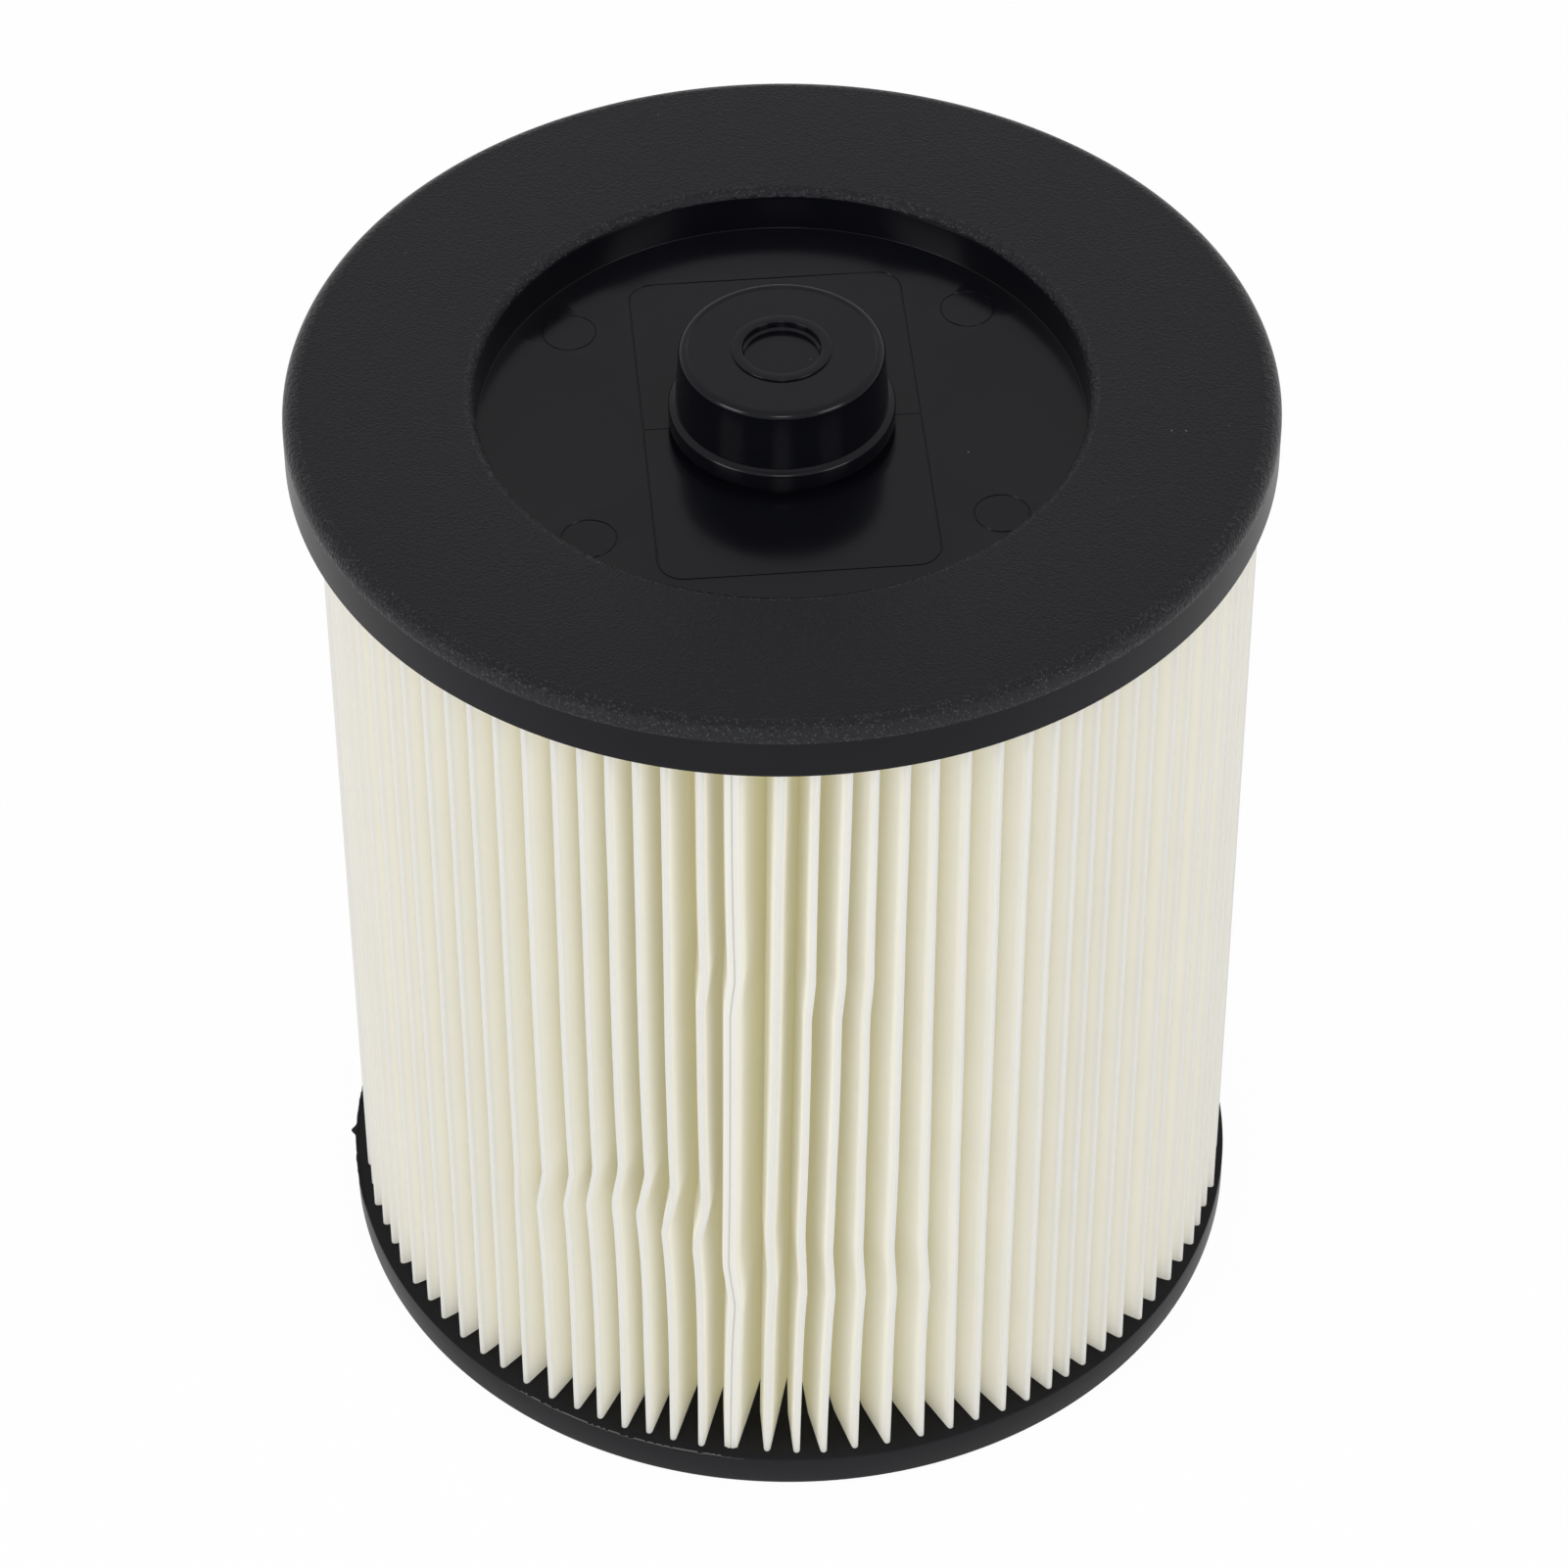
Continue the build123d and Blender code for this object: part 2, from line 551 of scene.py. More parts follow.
@dataclass(frozen=True)
class PlasticFinish:
    """Black moulded or cast plastic with a grain and a few specks: pale ones of dust and scuffs, and on the
    cap's edges dim ones that paint glints. Colours are linear.

    Attributes:
        roughness_spread: How far the roughness wanders from its mean.
        grain_size: Grains per metre.
        grain_depth: Height of the grain in millimetres.
        speck_share: Share of the cells that hold a speck, of dust or a painted glint.
        speck_spacing: Such cells per metre.
        speck_reach: The largest speck's radius as a part of its cell.
        tone_spread: Share by which the colour wanders.
    """

    name: str
    colour: Colour
    roughness: float
    roughness_spread: float = 0.06
    grain_size: float = 1400.0
    grain_depth: float = 0.02
    speck_share: float = 0.0
    speck_spacing: float = 400.0
    speck_reach: float = 0.06
    speck_colour: Colour = PALE_SPECK
    specular: float = 0.22
    tone_spread: float = 0.2

    def build(self, effects: dict[str, Tree]) -> Material:
        """Makes the material.

        Args:
            effects: The shared node groups by name.

        Returns:
            The finished material.
        """
        material, tree, shader = new_material(self.name)
        grain = place_group(tree, effects["grain"], Size=self.grain_size)
        patch = Wire(tree, grain.outputs["Patch"])
        rough = patch.between(self.roughness - self.roughness_spread, self.roughness + self.roughness_spread)
        depth = self.grain_depth * MM
        bump = add_node(tree, "ShaderNodeBump", Height=grain.outputs["Height"], Distance=depth)
        colour = scaled_colour(tree, self.colour, patch.between(1 - self.tone_spread, 1 + self.tone_spread))
        if self.speck_share:
            specks = place_group(tree, effects["specks"], Spacing=self.speck_spacing, Share=self.speck_share,
                                 Reach=self.speck_reach)
            # Pale specks are dust and scuffs; with the edge's colour they are painted glints.
            colour = mixed_colour(tree, specks.outputs["Mask"], colour, self.speck_colour)
        feed_all(tree, shader, Base_Color=colour, Roughness=rough, Normal=bump.outputs["Normal"],
                 Specular_IOR_Level=self.specular)
        return material


@dataclass(frozen=True)
class PaperFinish:
    """Cream filter paper, with painted shade that makes it darker and yellower in its folds and darker on its
    tips, and a painted glow.

    Colours are linear, and ranges are in terms of the paper's mark.

    Attributes:
        crest: Colour of the round pleat tips, darker than the flanks as painted shade that offsets the lamps
            and the painted glow there.
        flank: Colour of the flanks next to them.
        fold: Colour deep in the folds, darker and yellower as painted shade.
        painted_glow: Colour of the emission that paints the light that comes through the paper and bounces
            between the folds.
        painted_glow_dip: Share of that painted glow that is missing half way up the flanks.
        dip_start: Where that dip sets in.
        dip_end: Where it ends.
        flank_start: Where the fold's colour turns into the flank's.
        crest_start: Where the flank's colour turns into the crest's.
        tone_spread: Share by which the colour wanders.
        clouds: Cloudy changes of tone per metre.
        fibre_size: Fibres per metre.
        fibre_depth: Height of the fibres in millimetres.
        fine_share: Share of that height that the finest fibres have.
        coarseness: Size of the others, as a multiple of the finest ones' count per metre.
        wave_depth: Height of the soft waves across a flank in millimetres.
        waves: How many of them lie between a fold and a tip.
    """

    name: str
    crest: Colour
    flank: Colour
    fold: Colour
    painted_glow: Colour
    painted_glow_strength: float
    painted_glow_dip: float = 0.17
    dip_start: Point = (0.15, 0.5)
    dip_end: Point = (0.7, 0.9)
    flank_start: Point = (0.2, 0.88)
    crest_start: Point = (0.89, 1.0)
    tone_spread: float = 0.05
    clouds: float = 60.0
    fibre_size: float = 2600.0
    fibre_depth: float = 0.04
    fine_share: float = 0.7
    coarseness: float = 0.25
    wave_depth: float = 0.12
    waves: float = 1.5
    roughness: float = 0.9
    specular: float = 0.2

    def build(self) -> Material:
        """Makes the material, which reads the paper's mark from the mesh and uses no shared group.

        Returns:
            The finished material.
        """
        material, tree, shader = new_material(self.name)
        place = tree.nodes.new("ShaderNodeTexCoord").outputs["Object"]
        fine = noise(tree, place, self.fibre_size, 4.0)
        coarse = noise(tree, place, self.fibre_size * self.coarseness, 2.0)
        felt = fine * self.fine_share + coarse * (1 - self.fine_share)
        tint = (noise(tree, place, self.clouds, 3.0) + fine) * 0.5
        mark = tree.nodes.new("ShaderNodeAttribute")
        mark.attribute_name = TIP_NEARNESS
        near = Wire(tree, mark.outputs["Fac"])
        # Painted shade: the fold colour makes the folds darker and yellower, and the crest colour makes the
        # tips darker.
        cream = mixed_colour(tree, near.eased(*self.flank_start), self.fold, self.flank)
        cream = mixed_colour(tree, near.eased(*self.crest_start), cream, self.crest)
        tone = tint.between(1 - self.tone_spread, 1 + self.tone_spread)
        wave = (near * (2 * math.pi * self.waves)).apply("SINE") * self.wave_depth
        height = felt * self.fibre_depth + wave
        bump = add_node(tree, "ShaderNodeBump", Height=height, Distance=MM)
        # Painted glow: emission that stands in for light through the paper and bounced between the folds,
        # with less of it half way up the flanks.
        dip = near.eased(*self.dip_start) - near.eased(*self.dip_end)
        painted_glow = mixed_colour(tree, 1.0 - dip * self.painted_glow_dip, BLACK, self.painted_glow)
        feed_all(tree, shader, Base_Color=scaled_colour(tree, cream, tone), Normal=bump.outputs["Normal"],
                 Roughness=self.roughness, Specular_IOR_Level=self.specular, Emission_Color=painted_glow,
                 Emission_Strength=self.painted_glow_strength)
        return material


GRAINED_CAP = PlasticFinish(
    "cap_grained", (0.0064, 0.0066, 0.0095), 0.32, roughness_spread=0.05, grain_size=2000.0, grain_depth=0.34,
    speck_share=0.04, specular=0.25)
# On the rounded edges the grain is real, and the dim specks are painted glints.
EDGE_CAP = PlasticFinish(
    "cap_edges", (0.0068, 0.0070, 0.0098), 0.30, roughness_spread=0.05, grain_size=1300.0, grain_depth=0.5,
    speck_share=0.5, speck_spacing=2200.0, speck_reach=0.5, speck_colour=EDGE_PAINTED_GLINT, specular=0.28)
GLOSSY_CAP = PlasticFinish(
    "cap_glossy", (0.0040, 0.0042, 0.0066), 0.18, roughness_spread=0.05, grain_size=240.0, grain_depth=0.004,
    speck_share=0.04, specular=0.27)
SATIN_CAP = PlasticFinish(
    "cap_satin", (0.0066, 0.0066, 0.0092), 0.34, roughness_spread=0.05, grain_size=700.0, grain_depth=0.008,
    specular=0.13)
CAST_RING = PlasticFinish(
    "ring_cast", (0.0085, 0.0085, 0.0105), 0.42, roughness_spread=0.08, grain_size=600.0, grain_depth=0.03,
    speck_share=0.02, specular=0.15)
# Pale grey on a real thin flash, painting the bright highlight along the ring's top edge.
RING_FIN_PAINTED_HIGHLIGHT = PlasticFinish("ring_fin_painted_highlight", (0.13, 0.13, 0.13), 0.5, roughness_spread=0.1, grain_size=900.0)
CAGE = PlasticFinish("cage_moulded", (0.02, 0.02, 0.021), 0.45)
POTTING = PlasticFinish(
    "potting_set", (0.02, 0.02, 0.021), 0.6, roughness_spread=0.1, grain_size=300.0, grain_depth=0.05)
# The crest and fold colours are painted shade, and the glow is painted light.
PAPER = PaperFinish(
    "paper_cream", crest=(0.71, 0.705, 0.68), flank=(0.85, 0.835, 0.765), fold=(0.80, 0.77, 0.56),
    painted_glow=(1.0, 0.965, 0.80), painted_glow_strength=0.105)
PLASTICS = (GRAINED_CAP, EDGE_CAP, GLOSSY_CAP, SATIN_CAP, CAST_RING, RING_FIN_PAINTED_HIGHLIGHT, CAGE, POTTING)
ZONE_FINISHES = {
    Zone.GRAINED: GRAINED_CAP, Zone.GLOSSY: GLOSSY_CAP, Zone.SATIN: SATIN_CAP, Zone.EDGE: EDGE_CAP,
}
Materials = dict[Union[PlasticFinish, PaperFinish], Material]


@dataclass
class TopCap:
    """The closed cap: one moulding with a skirt, a recess and a stepped hollow boss.

    Sizes are in millimetres and the insert's turn in degrees. Heights start at the flat top of the cap,
    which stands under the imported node's highest point by the boss's own rise.
    """

    wall: float = 2.2
    skirt_height: float = 10.6
    rim_round: float = 3.0
    recess_radius: float = 53.8
    recess_depth: float = 8.4
    lip_round: float = 1.9
    lip_margin: float = 0.095
    floor_round: float = 0.12
    fine_edge: float = 0.2
    socket_radius: float = 15.9
    boss_top_radius: float = 18.1
    boss_base_radius: float = 18.8
    boss_height: float = 17.0
    boss_round: float = 1.3
    collar_radius: float = 20.0
    collar_height: float = 3.2
    collar_slope: float = 0.5
    collar_round: float = 0.7
    neck_radius: float = 18.4
    neck_height: float = 1.6
    top_rim_width: float = 0.4
    top_dish: float = 0.3
    gate_ring_radius: float = 8.8
    gate_ring_width: float = 1.9
    gate_ring_height: float = 0.4
    gate_well_depth: float = 1.3
    insert_width: float = 49.0
    insert_length: float = 79.0
    insert_corner: float = 4.5
    insert_turn: float = 4.8
    pin_radius: float = 4.8
    pin_across: float = 35.8
    pin_along: float = 27.6
    witness_width: float = 0.3
    corner_points: int = 8
    pin_points: int = 40
    line_points: int = 6
    segments: int = 288
    sharp: float = 32.0
    name: str = "top_cap_shell"
    radius: float = field(init=False)
    top: float = field(init=False)

    def __post_init__(self) -> None:
        """Takes the rim's radius and the flat top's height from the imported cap."""
        low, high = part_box("top_cap")
        self.radius = (high[0] - low[0]) / 2 / MM
        gate_rise = self.gate_ring_height - self.top_dish
        self.top = high[2] / MM - gate_rise - self.boss_height + self.recess_depth

    @property
    def floor(self) -> float:
        """Height of the recess floor."""
        return self.top - self.recess_depth

    def section(self) -> list[Point]:
        """The closed half section, from the gate well outwards and back underneath.

        Returns:
            Radius and height of each corner.
        """
        boss_top = self.floor + self.boss_height
        plateau = boss_top - self.top_dish
        plateau_radius = self.boss_top_radius - self.boss_round - self.top_rim_width
        well = plateau - self.gate_well_depth
        gate_top = plateau + self.gate_ring_height
        gate_inner = self.gate_ring_radius - self.gate_ring_width
        collar_bottom = self.floor + self.neck_height
        collar_top = collar_bottom + self.collar_height
        skirt_bottom = self.top - self.skirt_height
        underside = self.floor - self.wall
        roof = self.top - self.wall
        channel_inner = self.recess_radius + self.wall
        channel_outer = self.radius - self.wall
        fine = self.fine_edge
        floor_edge = eased_edge((self.recess_radius, self.floor), self.floor_round, Side.INWARD, 4)
        return [
            (0, well),
            (gate_inner - 2 * fine, well),
            (gate_inner, well + 2 * fine),
            *reversed(eased_edge((gate_inner, gate_top), fine, Side.OUTWARD, 3)),
            *eased_edge((self.gate_ring_radius, gate_top), fine, Side.INWARD, 3),
            (self.gate_ring_radius, plateau),
            (plateau_radius, plateau),
            (plateau_radius + self.top_dish, boss_top),
            *eased_edge((self.boss_top_radius, boss_top), self.boss_round, Side.INWARD, 8),
            (self.boss_base_radius, collar_top + self.collar_slope),
            (self.boss_base_radius + fine, collar_top + self.collar_slope - fine / 2),
            *eased_edge((self.collar_radius, collar_top + fine), self.collar_round, Side.INWARD, 5),
            (self.collar_radius, collar_bottom + fine / 2),
            (self.collar_radius - fine / 2, collar_bottom),
            (self.neck_radius, collar_bottom),
            (self.neck_radius, self.floor),
            *mirrored(floor_edge, self.floor),
            *reversed(eased_edge((self.recess_radius, self.top), self.lip_round, Side.OUTWARD, 10)),
            *eased_edge((self.radius, self.top), self.rim_round, Side.INWARD, 14),
            (self.radius, skirt_bottom + fine),
            (self.radius - fine, skirt_bottom),
            (channel_outer, skirt_bottom),
            (channel_outer, roof),
            (channel_inner, roof),
            (channel_inner, underside),
            (self.socket_radius, underside),
            (self.socket_radius, well - self.wall),
            (0, well - self.wall),
        ]

    def witness_lines(self) -> Piece:
        """Cutter for the fine lines that the mould's insert and ejector pins left in the recess floor.

        Returns:
            A mesh object of tubes that lie half in the floor.
        """
        values = {
            "Width": self.insert_width * MM, "Length": self.insert_length * MM,
            "Corner": self.insert_corner * MM, "Turn": math.radians(self.insert_turn),
            "Pin Radius": self.pin_radius * MM, "Pin Across": self.pin_across * MM,
            "Pin Along": self.pin_along * MM, "Line": self.witness_width * MM,
            "Neck": self.neck_radius * MM, "Height": self.floor * MM,
        }
        tree = bpy.data.node_groups.new("Witness Lines", "GeometryNodeTree")
        wires = add_inputs(tree, values)
        # The insert's outline, with round corners
        outline = output_of(tree, "GeometryNodeCurvePrimitiveQuadrilateral",
                            Width=wires["Width"], Height=wires["Length"])
        rounded = tree.nodes.new("GeometryNodeFilletCurve")
        rounded.mode = "POLY"
        feed_all(tree, rounded, Curve=outline, Radius=wires["Corner"], Count=self.corner_points)
        # A circle for each of the four pins
        pins = output_of(tree, "GeometryNodeCurvePrimitiveQuadrilateral",
                         Width=wires["Pin Across"] * 2.0, Height=wires["Pin Along"] * 2.0)
        centres = add_node(tree, "GeometryNodeCurveToPoints", Curve=pins)
        centres.mode = "EVALUATED"
        circle = output_of(tree, "GeometryNodeCurvePrimitiveCircle", Radius=wires["Pin Radius"],
                           Resolution=self.pin_points)
        circles = output_of(tree, "GeometryNodeInstanceOnPoints", Points=centres.outputs[0], Instance=circle)
        # The split between the insert's halves, from the boss to each side
        splits = [
            output_of(tree, "GeometryNodeCurvePrimitiveLine", Start=vector(tree, wires["Neck"] * way),
                      End=vector(tree, wires["Width"] * (0.5 * way)))
            for way in (-1.0, 1.0)
        ]
        lines = tree.nodes.new("GeometryNodeJoinGeometry")
        for line in (rounded.outputs[0], circles, *splits):
            tree.links.new(line, lines.inputs[0])
        plain = output_of(tree, "GeometryNodeRealizeInstances", Geometry=lines.outputs[0])
        rod = output_of(tree, "GeometryNodeCurvePrimitiveCircle", Radius=wires["Line"] * 0.5,
                        Resolution=self.line_points)
        tubes = output_of(tree, "GeometryNodeCurveToMesh", Curve=plain, Profile_Curve=rod, Fill_Caps=True)
        lift = vector(tree, z=wires["Height"])
        turn = vector(tree, z=wires["Turn"])
        placed = output_of(tree, "GeometryNodeTransform", Geometry=tubes, Translation=lift, Rotation=turn)
        finish_tree(tree, placed, wires["Material"])
        return grow("witness_cutter", tree, values, self.sharp)

    def zone_of(self, centre: Vector) -> Zone:
        """The zone that a face belongs to.

        Args:
            centre: The face's middle, in metres.

        Returns:
            Its zone.
        """
        radius = math.hypot(centre.x, centre.y) / MM
        height = centre.z / MM
        in_recess = radius < self.recess_radius + self.lip_margin
        if height > self.top - self.rim_round and not in_recess:
            flat = self.recess_radius + self.lip_round < radius < self.radius - self.rim_round
            return Zone.GRAINED if flat else Zone.EDGE
        if in_recess and height > self.floor - self.witness_width:
            return Zone.GLOSSY
        return Zone.SATIN

    def build(self, materials: Materials) -> None:
        """Turns the shell, cuts the witness lines and dresses each zone.

        Args:
            materials: The material of each finish.
        """
        shell = lathe(self.name, self.section(), self.segments)
        cutter = self.witness_lines()
        cut = shell.modifiers.new("Witness", "BOOLEAN")
        cut.operation = "DIFFERENCE"
        cut.solver = "EXACT"
        cut.use_self = True
        cut.object = cutter
        flatten(shell, self.sharp)
        bpy.data.objects.remove(cutter)
        shell.data.materials.clear()
        for zone in Zone:
            shell.data.materials.append(materials[ZONE_FINISHES[zone]])
        for face in shell.data.polygons:
            face.material_index = self.zone_of(face.center).value
        keep(shell, "cap_plastic", "top_cap")


@dataclass(frozen=True)
class Crease:
    """A kink that runs across some pleats, where the folded pack was squeezed.

    Attributes:
        first: Angle of the first pleat it crosses, in degrees from the front.
        last: Angle of the last one.
        height: Where the kink starts on the first pleat, in millimetres above the underside.
        last_height: Where it starts on the last one.
        above: Sideways shift of the tip above the kink, in millimetres.
        below: Sideways shift below it.
        swing: Length of the kink itself.
        fade_above: Length over which the shift dies away above.
        fade_below: Length over which it dies away below.
        soft: Angle over which the kink sets in and ends.
    """

    first: float
    last: float
    height: float
    last_height: float
    above: float
    below: float
    swing: float = 11.0
    fade_above: float = 22.0
    fade_below: float = 14.0
    soft: float = 1.6

    def shift(self, angle: Wire, height: Wire) -> Wire:
        """The sideways shift of a pleat tip.

        Args:
            angle: The pleat's even angle in degrees from the front.
            height: Height in millimetres.

        Returns:
            The shift in millimetres.
        """
        start = angle.eased(self.first - self.soft, self.first)
        inside = start * (1.0 - angle.eased(self.last, self.last + self.soft))
        along = ((angle - self.first) / max(self.last - self.first, self.soft)).limited()
        over = height - along.between(self.height, self.last_height)
        upper = (over.apply("MAXIMUM", 0.0) / self.fade_above).fading() * self.above
        lower = ((over * -1.0 - self.swing).apply("MAXIMUM", 0.0) / self.fade_below).fading() * self.below
        crossing = (over * (-1.0 / self.swing)).limited()
        return (upper + (lower - upper) * crossing) * inside


@dataclass(frozen=True)
class Crowding:
    """A stretch of the pack whose pleats are pushed along from their even places.

    Attributes:
        angle: Middle of the stretch, in degrees from the front.
        push: How far the pleats there are pushed at their feet, in degrees.
        top_push: How much further their top ends are pushed, in degrees.
        reach: How far the push reaches to each side, in degrees.
    """

    angle: float
    push: float
    top_push: float
    reach: float

    def drift(self, angle: Wire, rise: Wire) -> Wire:
        """The push in degrees at an even angle, and at a share of the pleat's height."""
        away = (angle - self.angle) / self.reach
        return (away * away).fading() * (rise * self.top_push + self.push)


@dataclass
class PleatedPaper:
    """The folded strip: a closed sheet of paper whose section follows the pleats round the cage.

    Sizes are in millimetres, angles in degrees from the front. The two ends of the strip meet in the
    seam pleat, each with an edge of its own. A point's climb runs from 0 in a fold to 1 on a tip: the
    flank takes it up to tip_start, and one station of it lies between neighbouring columns of points. The
    nudge keeps a whole number from being rounded down to the one below.
    """

    pleats: int = 96
    columns: int = 8
    tip_start: float = 0.5
    station: float = 0.25
    nudge: float = 0.0001
    levels: int = 60
    gather: float = 0.5
    gather_rise: float = 0.33
    pleat_depth: float = 18.4
    fold_radius: float = 65.0
    thickness: float = 0.6
    bow: float = 0.12
    widest_half_step: float = 4.0
    seam_angle: float = -8.2
    seam_edge: float = 1.0
    seam_slit: float = 0.4
    seam_slit_depth: float = 0.3
    seam_inner_drop: float = 1.5
    seam_crown: float = 0.4
    spacing_spread: float = 0.06
    depth_spread: float = 0.25
    wander: float = 0.22
    wander_jump: float = 7.3
    wander_rate: float = 0.022
    lean_right: float = 1.25
    lean_front: float = 0.6
    seed: int = 11
    sharp: float = 50.0
    name: str = "pleated_paper"
    creases: tuple[Crease, ...] = (
        Crease(-37.0, -22.0, 68.0, 80.0, 0.6, -0.95, 9.5),
        Crease(-20.5, -10.5, 78.0, 70.5, 0.75, -1.2, 9.5),
        Crease(-9.5, -6.5, 58.5, 58.5, -0.35, 0.85, 11.0, 26.0, 14.0),
        Crease(-6.0, 16.0, 65.0, 60.0, -0.25, 0.5, 12.0, 16.0, 10.0),
        Crease(-13.5, -6.5, 131.0, 134.0, 0.75, -0.1, 8.0, 20.0, 30.0),
        Crease(-2.0, 8.5, 133.0, 131.0, 0.25, -0.3, 9.0, 20.0, 25.0),
    )
    crowdings: tuple[Crowding, ...] = (
        Crowding(23.0, 3.2, 0.3, 18.0),
        Crowding(-31.0, 1.5, 0.0, 13.0),
        Crowding(62.0, 1.3, 0.0, 9.0),
        Crowding(0.0, 0.8, 1.8, 6.5),
        Crowding(0.0, -0.5, 0.85, 45.0),
        Crowding(-12.0, 0.0, 0.6, 3.0),
        Crowding(-4.45, 0.75, 0.45, 2.2),
        Crowding(3.05, -0.35, 0.6, 2.5),
        Crowding(8.7, 0.1, 0.6, 3.2),
        Crowding(15.0, 0.5, -0.5, 2.5),
        Crowding(18.05, -0.1, -0.5, 2.5),
    )
    fold_pushes: tuple[Crowding, ...] = (Crowding(-4.45, 2.0, 0.0, 4.0),)

    def sizes(self) -> dict[str, float]:
        """The tree's number inputs.

        Returns:
            The sizes by input name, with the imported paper's own foot and length.
        """
        low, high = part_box("pleated_media")
        names = (
            "fold_radius", "pleat_depth", "thickness", "bow", "seam_angle", "seam_edge", "seam_slit",
            "seam_slit_depth", "seam_crown", "spacing_spread", "depth_spread", "wander", "lean_right",
            "lean_front", "seed",
        )
        return {**titled(self, names), "Base": low[2] / MM, "Length": (high[2] - low[2]) / MM}

    def _off_seam(self, pleat: Wire) -> Wire:
        """0 for the seam pleat, which is both the first and the last, and 1 for the others."""
        return pleat.limited() * (float(self.pleats) - pleat).limited()

    def _random(self, tree: Tree, pleat: Wire, spread: Wire, seed: Wire, salt: int) -> Wire:
        """An even random number for each pleat, from minus to plus the spread, and none at the seam.

        Args:
            tree: The tree to add to.
            pleat: The pleat's number.
            spread: Half the range.
            seed: The tree's seed.
            salt: Keeps one use apart from another.

        Returns:
            The random number.
        """
        node = tree.nodes.new("FunctionNodeRandomValue")
        node.data_type = "FLOAT"
        low, high = [slot for slot in node.inputs if slot.enabled and slot.name in ("Min", "Max")]
        feed(tree, low, spread * -1.0)
        feed(tree, high, spread)
        feed_all(tree, node, ID=pleat, Seed=seed + float(salt))
        value = Wire(tree, next(slot for slot in node.outputs if slot.enabled))
        return value * self._off_seam(pleat)

    def _gathered(self, rise: Wire) -> Wire:
        """Draws the levels of the mesh together where the kinks are.

        Args:
            rise: Even steps from 0 at the foot to 1 at the top.

        Returns:
            The drawn steps, from 0 to 1 as well.
        """
        full = 2 * math.pi
        wave = ((rise - self.gather_rise) * full).apply("SINE") + math.sin(self.gather_rise * full)
        return rise - wave * (self.gather / full)

    def _pleat_angle(self, tree: Tree, pleat: Wire, rise: Wire, wires: dict[str, Wire]) -> tuple[Wire, Wire]:
        """Where a pleat's tip stands round the filter.

        Args:
            tree: The tree to add to.
            pleat: The pleat's number.
            rise: How far up the pleat the point lies, from 0 to 1.
            wires: The tree's inputs.

        Returns:
            The even angle from -180 to 180, and the true angle, in degrees from the front.
        """
        pitch = 360.0 / self.pleats
        even = pleat * pitch + wires["Seam Angle"]
        wrapped = even.apply("WRAP", 180.0, -180.0)
        true = even + self._random(tree, pleat, wires["Spacing Spread"], wires["Seed"], 1) * pitch
        for crowding in self.crowdings:
            true = true + crowding.drift(wrapped, rise)
        return wrapped, true

    def tree(self) -> Tree:
        """Builds the geometry tree that bends a closed slab into the pleated strip.

        Returns:
            The tree, with the strip's sizes as its inputs.
        """
        tree = bpy.data.node_groups.new("Pleated Paper", "GeometryNodeTree")
        wires = add_inputs(tree, self.sizes())
        points = self.pleats * self.columns
        slab, (across, depth, even_rise) = unit_slab(tree, points + 1, 2, self.levels + 1)
        rise = self._gathered(even_rise)

        # Which pleat a point belongs to, on which side of its tip, and how far up from the fold
        column = (across * float(points)).apply("ROUND") + self.columns / 2
        pleat = (column / float(self.columns) + self.nudge).apply("FLOOR")
        phase = column / float(self.columns) - pleat
        side = (phase - 0.5).apply("SIGN")
        climb = 1.0 - (phase * 2.0 - 1.0).apply("ABSOLUTE")
        seam = 1.0 - self._off_seam(pleat)

        # Half the angle to the next tip
        even, tip_angle = self._pleat_angle(tree, pleat, rise, wires)
        _, next_angle = self._pleat_angle(tree, pleat + side, rise, wires)
        half_step = (next_angle - tip_angle).apply("ABSOLUTE") * 0.5
        half_step = half_step.apply("MINIMUM", self.widest_half_step).apply("RADIANS")

        # The paper's outer face: a bowed flank and a round tip
        thick = wires["Thickness"]
        slit_depth = wires["Seam Slit Depth"]
        tip_radius = wires["Fold Radius"] + wires["Pleat Depth"]
        tip_radius = tip_radius + self._random(tree, pleat, wires["Depth Spread"], wires["Seed"], 2)
        tip_centre = tip_radius - thick
        flank = (climb / self.tip_start).limited()
        over_tip = ((climb - self.tip_start) / (1 - self.tip_start)).limited()
        turn = over_tip * (math.pi / 2)
        flank_radius = flank.between(wires["Fold Radius"] + thick, tip_centre)
        outer_radius = flank_radius + turn.apply("SINE") * thick
        half_gap = half_step * outer_radius
        bulge = (flank * math.pi).apply("SINE") * wires["Bow"]
        outer_side = (1.0 - flank) * half_gap + flank * turn.apply("COSINE") * thick + bulge

        # At the seam, two edges with a slit between them take the round tip's place
        edge = ((climb - self.tip_start) / self.station).limited()
        slit = ((climb - (self.tip_start + self.station)) / self.station).limited()
        seam_radius = flank_radius + edge * wires["Seam Crown"] - slit * slit_depth
        edge_side = (1.0 - edge) * wires["Seam Edge"] + wires["Seam Slit"] * 0.5
        seam_side = (1.0 - flank) * half_gap + flank * edge_side + bulge
        outer_radius = seam.between(outer_radius, seam_radius)
        outer_side = seam.between(outer_side, seam_side)

        # The inner face: a land on the cage, then a flank up to the crease
        inner_flank = ((climb - self.station) / self.tip_start).limited()
        inner_drop = seam * slit_depth * self.seam_inner_drop
        inner_radius = inner_flank.between(wires["Fold Radius"], tip_centre - inner_drop)
        land = half_step * inner_radius - (climb / self.station).limited() * thick
        inner_side = (1.0 - inner_flank) * land + (inner_flank * math.pi).apply("SINE") * wires["Bow"]
        inner_side = inner_side + seam * inner_flank * wires["Seam Slit"] * 0.5

